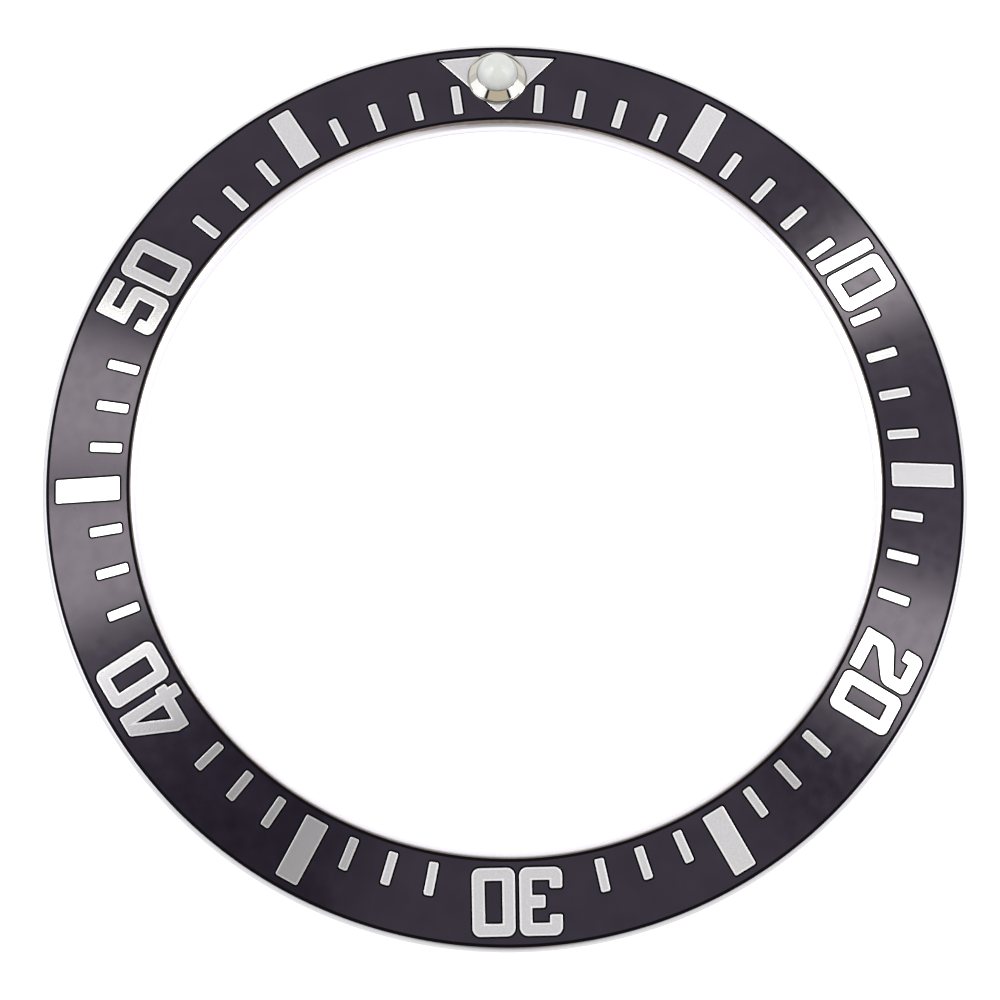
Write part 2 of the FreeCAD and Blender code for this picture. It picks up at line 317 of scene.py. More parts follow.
def cutter_for(piece):
    """A taller and slightly wider copy of a mark."""
    only(piece)
    bpy.ops.object.duplicate()
    cutter = bpy.context.object
    bpy.ops.object.mode_set(mode="EDIT")
    pick("faces", lambda face: abs(face.normal.z) > WALL_TILT)
    bpy.ops.mesh.delete(type="FACE")
    pick("verts", lambda v: is_top(v.co))
    bpy.ops.transform.translate(value=(0, 0, CUTTER_LIFT * MM))
    bpy.ops.mesh.select_all(action="SELECT")
    bpy.ops.transform.shrink_fatten(value=fill_gap * MM, use_even_offset=True)
    round_corners(CORNER_ROUND + fill_gap)
    fill_lid(is_top)
    fill_lid(lambda point: not is_top(point))
    finish_turning()
    return cutter


cutters = [cutter_for(piece) for piece in fills.values()]
print("cutters:", len(cutters))

# %% [markdown]
# ## Engraving
# One boolean for each mark would take 29 passes over the ring. All cutters joined come out of
# the blank in a single one. The exact solver is slower than the fast one, but it keeps thin
# walls such as those between the digits.

# %% Cut the pockets


def apply_modifier(piece, kind, **settings):
    """Adds a modifier, sets it up and applies it."""
    only(piece)
    bpy.ops.object.modifier_add(type=kind)
    modifier = piece.modifiers[-1]
    for name, value in settings.items():
        setattr(modifier, name, value)
    bpy.ops.object.modifier_apply(modifier=modifier.name)


bpy.ops.object.select_all(action="DESELECT")
for cutter in cutters:
    cutter.select_set(True)
bpy.context.view_layer.objects.active = cutters[0]
bpy.ops.object.join()
engraver = bpy.context.object
print("engraver spans", [round(size / MM, 3) for size in engraver.dimensions])
apply_modifier(ring, "BOOLEAN", operation="DIFFERENCE", solver="EXACT", object=engraver)
bpy.data.objects.remove(engraver)
print("ring faces:", len(ring.data.polygons))

# %% [markdown]
# ## The hole under the pearl
# The pearl's cup has a stem that is cemented into a hole drilled square to the face. The drill
# is a cylinder made upright over the origin and then moved to the pearl's seat, as the cup and
# the bead will be later.

# %% Drill the hole for the stem
pearl_place = 17.35
stem_hole_radius = 0.65
DRILL_LENGTH = 3
DRILL_STEPS = 96


def set_on_face(piece):
    """Moves a piece made upright over the origin to the pearl's seat, square to the face."""
    only(piece)
    piece.location = (0, pearl_place * MM, face_height(pearl_place) * MM)
    piece.rotation_euler = (-face_slope, 0, 0)
    bpy.ops.object.transform_apply(location=True, rotation=True, scale=True)


bpy.ops.object.select_all(action="DESELECT")
bpy.ops.mesh.primitive_cylinder_add(
    vertices=DRILL_STEPS, radius=stem_hole_radius * MM, depth=DRILL_LENGTH * MM, location=(0, 0, 0))
drill = bpy.context.object
set_on_face(drill)
apply_modifier(ring, "BOOLEAN", operation="DIFFERENCE", solver="EXACT", object=drill)
bpy.data.objects.remove(drill)
print("ring faces with the hole:", len(ring.data.polygons))

# %% [markdown]
# ## Exact normals along the slope
# The face is so glossy that the smallest wrong normal shows as a streak. Smooth shading averages
# the normals of neighbouring faces, and long thin faces between the pockets pull that average
# about. The cone's own normals are known, so they are written over the averaged ones wherever
# a face lies along the slope. A finer mesh would only make the streaks finer.

# %% Helpers for smooth shading
ALONG_SLOPE = 0.9995


def smooth(piece, angle_deg):
    """Smooth shading up to an angle, with the large faces deciding the normals."""
    only(piece)
    bpy.ops.object.shade_smooth_by_angle(angle=math.radians(angle_deg))
    apply_modifier(piece, "WEIGHTED_NORMAL", keep_sharp=True)


def slope_normal(point):
    """The direction square to the sloped face beside a point."""
    outward = Vector((point.x, point.y, 0)).normalized() * math.sin(face_slope)
    return outward + Vector((0, 0, math.cos(face_slope)))


def true_the_slope(piece):
    """Gives all faces that lie along the slope the exact normals of the cone."""
    mesh = piece.data
    normals = [corner.vector.copy() for corner in mesh.corner_normals]
    trued = 0
    for polygon in mesh.polygons:
        if polygon.normal.dot(slope_normal(polygon.center)) > ALONG_SLOPE:
            trued += 1
            for loop in polygon.loop_indices:
                corner = mesh.vertices[mesh.loops[loop].vertex_index].co
                normals[loop] = slope_normal(corner)
    mesh.normals_split_custom_set(normals)
    return trued


smooth(ring, angle_deg=30)
print("faces along the slope:", true_the_slope(ring))

# %% [markdown]
# ## The lacquer's soft edges
# Dried lacquer has a soft top edge, made as a bevel. An inset leaves a narrow border inside the
# top of each mark, which gets a paler copy of the lacquer: a painted highlight along the rim.
# Both come out clean on flat faces only, and the marks lie on a cone. So the cone's height is
# first taken off every point, which lays the marks out flat, and put back at the end.

# %% Round the corners and the top edge of the lacquer
LACQUER_ROUND = 0.02
ROUND_STEPS = 3
HIGHLIGHT_RIM_WIDTH = 0.055
FACES_UP = 0.99
LACQUER, HIGHLIGHT_RIM, SIDE_WALL = range(3)


def shift_by_slope(piece, share):
    """Adds a share of the cone's height to every point of a piece."""
    for vertex in piece.data.vertices:
        vertex.co.z += share * face_height(radius_of(vertex.co)) * MM


def is_high(point):
    """Whether a point of a mark that is laid out flat belongs to its upper side."""
    return point.z > -pocket_depth / 2 * MM


def is_rim(edge):
    """Whether an edge runs round the top of a mark that is laid out flat."""
    tilts = sorted(abs(face.normal.z) for face in edge.link_faces)
    return tilts[0] < WALL_TILT < tilts[-1] and all(is_high(v.co) for v in edge.verts)


def is_top_face(face):
    """Whether a face is part of the top of a mark that is laid out flat."""
    return face.normal.z > FACES_UP and is_high(face.calc_center_median())


def set_material(index):
    """Gives the selected faces of the piece in edit mode one of its materials."""
    mesh = bpy.context.edit_object.data
    for face in bmesh.from_edit_mesh(mesh).faces:
        if face.select:
            face.material_index = index
    bmesh.update_edit_mesh(mesh)


for piece in fills.values():
    shift_by_slope(piece, -1)
    only(piece)
    bpy.ops.object.mode_set(mode="EDIT")
    round_corners(CORNER_ROUND)
    pick("edges", is_rim)
    bpy.ops.mesh.bevel(
        offset=LACQUER_ROUND * MM, segments=ROUND_STEPS, affect="EDGES", clamp_overlap=False)
    # every face takes the painted highlight first, then the inset top and the walls get their own
    # finishes
    bpy.ops.mesh.select_all(action="SELECT")
    set_material(HIGHLIGHT_RIM)
    pick("faces", is_top_face)
    bpy.ops.mesh.inset(thickness=HIGHLIGHT_RIM_WIDTH * MM, use_even_offset=True)
    set_material(LACQUER)
    pick("faces", lambda face: abs(face.normal.z) < WALL_TILT)
    set_material(SIDE_WALL)
    bpy.ops.object.mode_set(mode="OBJECT")
    shift_by_slope(piece, 1)
    smooth(piece, angle_deg=50)
    true_the_slope(piece)
print("faces of all fills:", sum(len(piece.data.polygons) for piece in fills.values()))

# %% [markdown]
# ## The pearl's cup
# The cup is turned brass with a bright plating: a stem below, a thin brim at its foot, a sloped
# wall and a narrow lip. It is turned upright over the origin like the ring, because its circles
# are easy to pick there, and set square to the face afterwards. A lathe profile can't reach the
# axis by resizing a circle, so the last small circle at each end is closed to a point.

# %% Turn the cup
PEARL_STEPS = 128
POLE_RADIUS = 0.3
SAME_LEVEL = 1e-7
stem_radius = 0.6
stem_length = 0.75
foot_radius = 1.26
brim_thickness = 0.06
brim_width = 0.08
wall_foot_height = 0.075
lip_radius = 0.875
cup_radius = 0.84
cup_height = 0.375
cup_floor = 0.1
cup_profile = [
    (POLE_RADIUS, -stem_length),
    (stem_radius, -stem_length),
    (stem_radius, 0.0),
    (foot_radius, 0.0),
    (foot_radius, brim_thickness),
    (foot_radius - brim_width, wall_foot_height),
    (lip_radius, cup_height),
    (cup_radius, cup_height),
    (cup_radius, cup_floor),
    (POLE_RADIUS, cup_floor),
]
# radius and height of the corner, width of the break, number of segments
cup_breaks = [
    (foot_radius, 0.0, 0.015, 3),
    (foot_radius, brim_thickness, 0.02, 3),
    (foot_radius - brim_width, wall_foot_height, 0.03, 3),
    (lip_radius, cup_height, 0.012, 3),
]


def close_poles():
    """Closes both open ends of the piece in edit mode, each to a point on the axis."""
    for end in (max, min):
        pick("edges", lambda edge: edge.is_boundary)
        points = bmesh.from_edit_mesh(bpy.context.edit_object.data).verts
        level = end(v.co.z for v in points if v.select)
        pick("edges", lambda edge: edge.is_boundary and abs(edge.verts[0].co.z - level) < SAME_LEVEL)
        bpy.ops.mesh.extrude_edges_move(TRANSFORM_OT_translate={"value": (0, 0, 0)})
        bpy.ops.mesh.merge(type="CENTER")


cup = turned("pearl_cup", cup_profile, PEARL_STEPS)
close_poles()
for edge_break in cup_breaks:
    break_edge(*edge_break)
finish_turning()
smooth(cup, angle_deg=40)
set_on_face(cup)
print("cup faces:", len(cup.data.polygons))

# %% [markdown]
# ## The pearl's bead
# The bead is a half-round drop of milky lacquer that stands on the lip of the cup. A sphere cut
# in half would need its cut closed and its rows would meet the lip by chance, so it is turned
# as well, with its lowest row a little way down inside the cup.

# %% Turn the bead
BEAD_ROWS = 32
bead_radius = 0.83
bead_sink = 0.08
bead_profile = [(POLE_RADIUS, cup_height - bead_sink), (bead_radius, cup_height - bead_sink)]
for row in range(BEAD_ROWS):
    angle = math.pi / 2 * row / BEAD_ROWS
    bead_profile.append((bead_radius * math.cos(angle), cup_height + bead_radius * math.sin(angle)))
bead = turned("pearl_bead", bead_profile, PEARL_STEPS)
close_poles()
finish_turning()
smooth(bead, angle_deg=50)
set_on_face(bead)
print("bead faces:", len(bead.data.polygons))

# %% [markdown]
# ## Materials
# Colours are written as the hex values that a screen shows, and one function turns them into
# the linear values that Blender mixes. One helper adds a node, sets it and links its inputs.
# Every pattern reads Object coordinates, so it stays on the piece from any side, and its scale
# is one over a real size in metres.

# %% Material helpers


def linear(hex_colour):
    """The linear colour, with alpha, of an sRGB hex value."""
    channels = [int(hex_colour[i:i + 2], 16) / 255 for i in (1, 3, 5)]
    return [c / 12.92 if c <= 0.04045 else ((c + 0.055) / 1.055) ** 2.4 for c in channels] + [1]


def add(tree, kind, inputs=None, **settings):
    """Adds a node, sets its properties and sets or links its inputs."""
    node = tree.nodes.new(kind)
    for name, value in settings.items():
        setattr(node, name, value)
    for name, value in (inputs or {}).items():
        if isinstance(value, bpy.types.NodeSocket):
            tree.links.new(value, node.inputs[name])
        else:
            node.inputs[name].default_value = value
    return node


def new_material(name):
    """An empty node material and its tree."""
    material = bpy.data.materials.new(name)
    material.use_nodes = True
    material.node_tree.nodes.clear()
    return material, material.node_tree


# %% [markdown]
# ## Anodised face
# Anodising grows a hard, clear oxide on the aluminium and soaks it with dye, then seals it. So
# the face is a dark, slightly violet black under a smooth film that mirrors the studio with soft
# edges. A plain glossy black would look like plastic: here the dye is cloudy over some
# millimetres, the sheen varies a little, and a faint etch keeps the mirror image from being
# perfect.

# %% Anodised face
# Gives the eye a deep violet black with a soft mirror sheen.
dye_cloud = 1.5
sheen_patch = 0.5
# The real etch is about 0.01 mm. It would not show, so it is drawn five times as coarse.
etch_grain = 0.05
black_anodised, tree = new_material("satin_black_anodised_aluminium")
place = add(tree, "ShaderNodeTexCoord").outputs["Object"]
dye = add(tree, "ShaderNodeTexNoise", {
    "Vector": place, "Scale": 1 / (dye_cloud * MM), "Detail": 3.0})
dye_tone = add(tree, "ShaderNodeValToRGB", {"Fac": dye.outputs["Fac"]})
dye_tone.color_ramp.elements[0].position = 0.3
dye_tone.color_ramp.elements[0].color = linear("#140F1A")
dye_tone.color_ramp.elements[1].position = 0.7
dye_tone.color_ramp.elements[1].color = linear("#1F1A26")
etch = add(tree, "ShaderNodeTexNoise", {
    "Vector": place, "Scale": 1 / (etch_grain * MM), "Detail": 2.0})
etch_bump = add(tree, "ShaderNodeBump", {
    "Height": etch.outputs["Fac"], "Strength": 0.05, "Distance": 0.01 * MM})
sheen = add(tree, "ShaderNodeTexNoise", {
    "Vector": place, "Scale": 1 / (sheen_patch * MM), "Detail": 4.0})
sheen_rough = add(tree, "ShaderNodeMapRange", {
    "Value": sheen.outputs["Fac"], "From Min": 0.3, "From Max": 0.7, "To Min": 0.12, "To Max": 0.18})
film = add(tree, "ShaderNodeBsdfPrincipled", {
    "Base Color": dye_tone.outputs["Color"], "Roughness": sheen_rough.outputs["Result"], "IOR": 1.52,
    "Specular Tint": linear("#F6E7FF"), "Normal": etch_bump.outputs["Normal"]})
add(tree, "ShaderNodeOutputMaterial", {"Surface": film.outputs[0]})
print(black_anodised.name, "has", len(tree.nodes), "nodes")

# %% [markdown]
# ## Pockets and rolled edges, in painted shade
# In the bottom of a pocket, on its walls and on the narrow bands where the face rolls over, the
# black is partly the dye and partly painted shade. It is the deepest black on the part, darker
# than the face, and it draws the thin shadow outline round every mark and the dark edges of the
# face. A darker copy of the face would still mirror the lamps, so this black is rough and has
# almost no sheen.

# %% Etched pockets and rolled edges
# Gives the eye a dead, matt black line of painted shade.
shade_black_grain = 0.1
painted_shade_black, tree = new_material("painted_shade_black_aluminium")
place = add(tree, "ShaderNodeTexCoord").outputs["Object"]
shade_black_noise = add(tree, "ShaderNodeTexNoise", {
    "Vector": place, "Scale": 1 / (shade_black_grain * MM), "Detail": 3.0})
shade_black_tone = add(tree, "ShaderNodeValToRGB", {"Fac": shade_black_noise.outputs["Fac"]})
shade_black_tone.color_ramp.elements[0].color = linear("#040305")
shade_black_tone.color_ramp.elements[1].color = linear("#0C0A0E")
shade_black_bsdf = add(tree, "ShaderNodeBsdfPrincipled", {
    "Base Color": shade_black_tone.outputs["Color"], "Roughness": 0.6, "Specular IOR Level": 0.05})
add(tree, "ShaderNodeOutputMaterial", {"Surface": shade_black_bsdf.outputs[0]})
print(painted_shade_black.name, "has", len(tree.nodes), "nodes")

# %% [markdown]
# ## Painted reflection line
# Round the inner edge a thin brownish grey line lies between the black face and the bare
# chamfer. It is a painted reflection in the rolled edge. A mix of the two finishes by a mask
# would do it too, but the line is so thin that one finish with the colour in between is enough.

# %% Painted reflection line
# Gives the eye a warm grey hairline between the black face and the bright chamfer: a painted
# reflection.
reflection_line_cloud = 0.3
reflection_line_paint, tree = new_material("painted_reflection_line_aluminium")
place = add(tree, "ShaderNodeTexCoord").outputs["Object"]
reflection_line_noise = add(tree, "ShaderNodeTexNoise", {
    "Vector": place, "Scale": 1 / (reflection_line_cloud * MM), "Detail": 3.0})
reflection_line_tone = add(tree, "ShaderNodeValToRGB", {"Fac": reflection_line_noise.outputs["Fac"]})
reflection_line_tone.color_ramp.elements[0].color = linear("#5E5352")
reflection_line_tone.color_ramp.elements[1].color = linear("#8C7F7B")
reflection_line_bsdf = add(tree, "ShaderNodeBsdfPrincipled", {
    "Base Color": reflection_line_tone.outputs["Color"], "Roughness": 0.5, "Specular IOR Level": 0.2})
add(tree, "ShaderNodeOutputMaterial", {"Surface": reflection_line_bsdf.outputs[0]})
print(reflection_line_paint.name, "has", len(tree.nodes), "nodes")

# %% [markdown]
# ## Bare turned aluminium
# The two chamfers are cut after the dyeing, so they are bare and bright, with the fine rings
# that a lathe tool leaves. The rings follow the distance to the axis, so a noise in one
# dimension reads that distance. A wave texture would do, but its rings are too regular. The
# outer chamfer gets a darker copy of the metal, which is painted shade.

# %% Bare turned aluminium
# Gives the eye a bright metal edge with a soft, silky shine.
tool_feed = 0.02


def bare_metal(name, hex_colour):
    """Turned aluminium, with the fine rings that a lathe tool leaves."""
    material, tree = new_material(name)
    place = add(tree, "ShaderNodeTexCoord").outputs["Object"]
    flat_place = add(tree, "ShaderNodeVectorMath", {0: place, 1: (1, 1, 0)}, operation="MULTIPLY")
    reach = add(tree, "ShaderNodeVectorMath", {0: flat_place.outputs["Vector"]}, operation="LENGTH")
    feed = add(tree, "ShaderNodeTexNoise", {
        "W": reach.outputs["Value"], "Scale": 1 / (tool_feed * MM), "Detail": 2.0},
        noise_dimensions="1D")
    turning = add(tree, "ShaderNodeBump", {
        "Height": feed.outputs["Fac"], "Strength": 0.15, "Distance": 0.01 * MM})
    metal = add(tree, "ShaderNodeBsdfPrincipled", {
        "Base Color": linear(hex_colour), "Metallic": 1.0, "Roughness": 0.25,
        "Normal": turning.outputs["Normal"]})
    add(tree, "ShaderNodeOutputMaterial", {"Surface": metal.outputs[0]})
    print(name, "has", len(tree.nodes), "nodes")
    return material


bare_aluminium = bare_metal("bare_turned_aluminium", "#EBE9EE")
# The darker copy for the outer edge is painted shade.
shaded_outer_aluminium = bare_metal("outer_edge_aluminium_painted_shade", "#D0CED2")

# %% [markdown]
# ## Silver lacquer
# The marks are filled with lacquer full of tiny aluminium flakes, so each is part metal and part
# paint: it takes up the grey of whatever it faces and goes white under a lamp. A paler copy of
# the same paint makes the painted highlight along the rim of each mark.

# %% Silver lacquer
# Gives the eye a fine, bright silver that never quite mirrors.
# The real flakes are about 0.03 mm. They are drawn twice as coarse, or they would not show.
flake_size = 0.06


def silver_paint(name, dark_hex, light_hex):
    """Silver lacquer with fine flakes between two tones."""
    material, tree = new_material(name)
    place = add(tree, "ShaderNodeTexCoord").outputs["Object"]
    flake = add(tree, "ShaderNodeTexNoise", {
        "Vector": place, "Scale": 1 / (flake_size * MM), "Detail": 3.0})
    tone = add(tree, "ShaderNodeValToRGB", {"Fac": flake.outputs["Fac"]})
    tone.color_ramp.elements[0].position = 0.3
    tone.color_ramp.elements[0].color = linear(dark_hex)
    tone.color_ramp.elements[1].position = 0.7
    tone.color_ramp.elements[1].color = linear(light_hex)
    bump = add(tree, "ShaderNodeBump", {
        "Height": flake.outputs["Fac"], "Strength": 0.1, "Distance": 0.01 * MM})
    paint = add(tree, "ShaderNodeBsdfPrincipled", {
        "Base Color": tone.outputs["Color"], "Metallic": 0.75, "Roughness": 0.14,
        "Normal": bump.outputs["Normal"]})
    add(tree, "ShaderNodeOutputMaterial", {"Surface": paint.outputs[0]})
    print(name, "has", len(tree.nodes), "nodes")
    return material


silver_lacquer = silver_paint("silver_flake_lacquer", "#D9D6DA", "#E5E2E6")
# the paler copy is a painted highlight along the rim of each mark
lacquer_painted_highlight = silver_paint("silver_flake_lacquer_painted_highlight", "#FAF8FB", "#FFFFFF")

# %% [markdown]
# ## Polished plating
# The pearl's cup is brass, polished and plated white. A polished metal shows nearly nothing but
# its surroundings, so its colour is one value, and only its roughness varies, as it does where
# a polishing wheel has passed.

# %% Polished plating
# Gives the eye a bright, slightly warm mirror.
wheel_mark = 0.2
polished_plating, tree = new_material("polished_nickel_plating")
place = add(tree, "ShaderNodeTexCoord").outputs["Object"]
polish = add(tree, "ShaderNodeTexNoise", {
    "Vector": place, "Scale": 1 / (wheel_mark * MM), "Detail": 2.0})
polish_rough = add(tree, "ShaderNodeMapRange", {
    "Value": polish.outputs["Fac"], "To Min": 0.03, "To Max": 0.07})
plating = add(tree, "ShaderNodeBsdfPrincipled", {
    "Base Color": linear("#BDBAB3"), "Metallic": 1.0, "Roughness": polish_rough.outputs["Result"]})
add(tree, "ShaderNodeOutputMaterial", {"Surface": plating.outputs[0]})
print(polished_plating.name, "has", len(tree.nodes), "nodes")

# %% [markdown]
# ## Opal bead
# The bead is clear lacquer with a white powder in it, over the luminous pellet. Light goes in
# and comes out somewhere else, which no surface colour can show, so the bead scatters light
# under its skin. A thin clear coat gives the wet look of the drop.

# %% Opal bead
# Gives the eye a soft, milky white with a small highlight.
milk_cloud = 0.4
opal_lacquer, tree = new_material("milky_opal_lacquer")
place = add(tree, "ShaderNodeTexCoord").outputs["Object"]
milk = add(tree, "ShaderNodeTexNoise", {
    "Vector": place, "Scale": 1 / (milk_cloud * MM), "Detail": 2.0})
milk_tone = add(tree, "ShaderNodeValToRGB", {"Fac": milk.outputs["Fac"]})
milk_tone.color_ramp.elements[0].color = linear("#D0D1CE")
milk_tone.color_ramp.elements[1].color = linear("#D8D9D7")
drop = add(tree, "ShaderNodeBsdfPrincipled", {
    "Base Color": milk_tone.outputs["Color"], "Roughness": 0.25, "IOR": 1.5,
    "Subsurface Weight": 0.6, "Subsurface Radius": (0.4, 0.45, 0.4), "Subsurface Scale": 1 * MM,
    "Coat Weight": 0.5, "Coat Roughness": 0.08})
add(tree, "ShaderNodeOutputMaterial", {"Surface": drop.outputs[0]})
print(opal_lacquer.name, "has", len(tree.nodes), "nodes")

# %% [markdown]
# ## Luminous pellet
# Under the bead sits a pressed tablet of luminous powder. Nobody sees it while the pearl is
# whole, but the CAD node stays in the model, so it gets a real finish: chalky and gritty.

# %% Luminous pellet
# Gives the eye a dull, pale green chalk.
powder_grit = 0.05
luminous, tree = new_material("pressed_luminous_compound")
place = add(tree, "ShaderNodeTexCoord").outputs["Object"]
grit = add(tree, "ShaderNodeTexNoise", {
    "Vector": place, "Scale": 1 / (powder_grit * MM), "Detail": 4.0})
grit_tone = add(tree, "ShaderNodeValToRGB", {"Fac": grit.outputs["Fac"]})
grit_tone.color_ramp.elements[0].color = linear("#C9D1B4")
grit_tone.color_ramp.elements[1].color = linear("#DCE3C8")
chalk = add(tree, "ShaderNodeBsdfPrincipled", {
    "Base Color": grit_tone.outputs["Color"], "Roughness": 0.8})
add(tree, "ShaderNodeOutputMaterial", {"Surface": chalk.outputs[0]})
print(luminous.name, "has", len(tree.nodes), "nodes")

# %% [markdown]
# ## Cement
# The stem is held by a film of cured cement in its hole. It shows only as a trace at the back of
# the ring, where it is a slightly cloudy, yellowish glaze.

# %% Cement
# Gives the eye a dull amber glaze.
haze_cloud = 0.2
cement, tree = new_material("cured_clear_cement")
place = add(tree, "ShaderNodeTexCoord").outputs["Object"]
haze = add(tree, "ShaderNodeTexNoise", {
    "Vector": place, "Scale": 1 / (haze_cloud * MM), "Detail": 2.0})
haze_tone = add(tree, "ShaderNodeValToRGB", {"Fac": haze.outputs["Fac"]})
haze_tone.color_ramp.elements[0].color = linear("#C2B58E")
haze_tone.color_ramp.elements[1].color = linear("#D3C8A6")
glaze = add(tree, "ShaderNodeBsdfPrincipled", {
    "Base Color": haze_tone.outputs["Color"], "Roughness": 0.3, "Transmission Weight": 0.3})
add(tree, "ShaderNodeOutputMaterial", {"Surface": glaze.outputs[0]})
print(cement.name, "has", len(tree.nodes), "nodes")

# %% [markdown]
# ## Five finishes on one ring
# The ring is one piece of metal with five finishes. Three of them are painted light. A darker
# copy of bare metal on the outer edge is painted shade. A brownish grey line at the inner edge is
# a painted reflection. The matt black in the pockets and beside the face's edges is partly the dye
# and partly painted shade. They could be painted as masks in a single material, but the borders
# between them are exact circles and pocket walls, which the mesh already has as edges. So each
# face gets its finish by where it lies: how far from the axis, how deep under the face, and which
# way it looks.

# %% Sort the ring's faces by finish
GLOSSY_BLACK, BARE_METAL, PAINTED_SHADE_BLACK, PAINTED_REFLECTION_LINE, SHADED_OUTER_METAL = range(5)
reflection_line_on_face = 0.04
reflection_line_on_chamfer = 0.02
# The painted reflection line reaches further over the inner edge within 25 degrees of the sixty mark.
reflection_line_more_at_sixty = 0.07
reflection_line_more_angle = 25
outer_cut_start = 0.02
inside_depth = 0.3
pocket_start = 0.01
SEAT_LOOKS_DOWN = -0.5
reflection_line_outside = face_inner_radius + reflection_line_on_face


def reflection_line_inside(clock_deg):
    """The radius at which the painted reflection line ends on the inner chamfer."""
    more = reflection_line_more_at_sixty * max(0, 1 - abs(clock_deg) / reflection_line_more_angle)
    return face_inner_radius - reflection_line_on_chamfer - more


def finish_of(polygon):
    """Which finish of the ring a face belongs to."""
    radius = radius_of(polygon.center)
    clock_deg = math.degrees(math.atan2(polygon.center.x, polygon.center.y))
    depth = depth_below_face(polygon.center)
    # the outer edge takes the darker copy of bare metal, which is painted shade
    if radius > face_outer_radius + outer_cut_start and polygon.normal.z > SEAT_LOOKS_DOWN:
        return SHADED_OUTER_METAL
    if depth > inside_depth or radius < reflection_line_inside(clock_deg):
        return BARE_METAL
    # a thin line at the inner edge takes the painted reflection
    if radius < reflection_line_outside:
        return PAINTED_REFLECTION_LINE
    # pockets and the bands beside the face's edges take the black of painted shade
    if depth > pocket_start or not shade_band_inside < radius < shade_band_outside:
        return PAINTED_SHADE_BLACK
    return GLOSSY_BLACK


ring.data.materials.clear()
for material in (black_anodised, bare_aluminium, painted_shade_black, reflection_line_paint, shaded_outer_aluminium):
    ring.data.materials.append(material)
for polygon in ring.data.polygons:
    polygon.material_index = finish_of(polygon)
for index, material in enumerate(ring.data.materials):
    print(material.name, sum(p.material_index == index for p in ring.data.polygons), "faces")

# %% [markdown]
# ## Dressing the other pieces
# Each fill has its top, its border with the painted highlight and its side walls, in the order in
# which its faces were numbered. The walls stand in the shadow line, so they get the pockets'
# black, which is painted shade. The two hidden CAD nodes keep their meshes and only change their
# material.

# %% Dress the fills, the pearl and the hidden nodes
for piece in fills.values():
    for material in (silver_lacquer, lacquer_painted_highlight, painted_shade_black):
        piece.data.materials.append(material)
cup.data.materials.append(polished_plating)
bead.data.materials.append(opal_lacquer)
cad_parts["pearl_lume"].material_slots[0].material = luminous
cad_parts["pearl_cement"].material_slots[0].material = cement
print("materials in use:", len([m for m in bpy.data.materials if m.users]))

# %% [markdown]
# ## Tying the pieces to the CAD body
# Nothing on the insert moves by itself, so all pieces ride on the one body. Each piece hides the
# CAD node that it stands for.

# %% Tie the pieces to the CAD body
dressed = [
    (ring, ["insert_ring"], "black_anodised_aluminium"),
    (cup, ["pearl_holder"], "polished_plating"),
    (bead, ["pearl_dome"], "opal_lacquer"),
    *((piece, [node_name], "silver_lacquer") for node_name, piece in fills.items()),
]
for piece, node_names, slot in dressed:
    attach(piece, "root")
    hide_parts(*node_names)
print("pieces tied:", len(dressed))

# %% [markdown]
# ## The camera
# The camera hangs over the insert, a little below its centre, with a long lens. Its place was
# worked out from the shape of the face's two edges, which are ellipses of slightly different
# centres in the picture, and its lens from the width that the ring takes in the frame. Aiming it
# with a Track To constraint is easier, but a constraint can't hold the small roll.

# %% Camera
camera_place = Vector((-4.226, -24.949, 123.838)) * MM
look = Vector((0.0313, 0.1935, -0.9806)).normalized()
up = Vector((0.0178, 0.9808, 0.1941))
up = (up - look * up.dot(look)).normalized()
side = look.cross(up)

camera_data = bpy.data.cameras.new("photo_camera")
camera_data.sensor_width = 36
camera_data.lens = 110.33
camera_data.clip_start = 0.01
camera_data.clip_end = 10
camera = bpy.data.objects.new("photo_camera", camera_data)
bpy.context.scene.collection.objects.link(camera)
turn = Matrix((side, up, -look)).transposed().to_4x4()
camera.matrix_world = Matrix.Translation(camera_place) @ turn
bpy.context.scene.camera = camera
print("camera tilted by", round(math.degrees(look.angle(Vector((0, 0, -1)))), 2), "degrees")

# %% [markdown]
# ## The floor
# The insert lies on white paper. Paper that is lit until it is white in the picture would also
# flood the part with light. So the paper itself is grey, which keeps the shadow soft, and it
# glows only towards the camera and in mirror images and glass, never as a lamp.

# %% Floor
FLOOR_SIZE = 0.8
FLOOR_DROP = 0.02
PAPER_GREY = 0.38
PAPER_GLOW = 0.8
floor_material, tree = new_material("white_floor")
path = add(tree, "ShaderNodeLightPath")
seen = add(tree, "ShaderNodeMath", {
    0: path.outputs["Is Camera Ray"], 1: path.outputs["Is Glossy Ray"]}, operation="MAXIMUM")
seen = add(tree, "ShaderNodeMath", {
    0: seen.outputs[0], 1: path.outputs["Is Transmission Ray"]}, operation="MAXIMUM")
glow_level = add(tree, "ShaderNodeMath", {0: seen.outputs[0], 1: PAPER_GLOW}, operation="MULTIPLY")
paper = add(tree, "ShaderNodeBsdfDiffuse", {"Color": (PAPER_GREY, PAPER_GREY, PAPER_GREY, 1)})
glow = add(tree, "ShaderNodeEmission", {"Strength": glow_level.outputs[0]})
lit_paper = add(tree, "ShaderNodeAddShader", {0: paper.outputs[0], 1: glow.outputs[0]})
add(tree, "ShaderNodeOutputMaterial", {"Surface": lit_paper.outputs[0]})

bpy.ops.object.select_all(action="DESELECT")
bpy.ops.mesh.primitive_plane_add(size=FLOOR_SIZE, location=(0, 0, -FLOOR_DROP * MM))
floor = bpy.context.object
floor.name = "floor"
floor.data.materials.append(floor_material)
print("floor lies", FLOOR_DROP, "mm under the seat")

# %% [markdown]
# ## What the face mirrors
# A glossy cone shows the studio as a clock: at each hour it mirrors another direction. So a
# light or dark field isn't placed by trial, but where the camera's look goes when the face
# throws it back at a clock angle, with twelve o'clock at zero degrees.

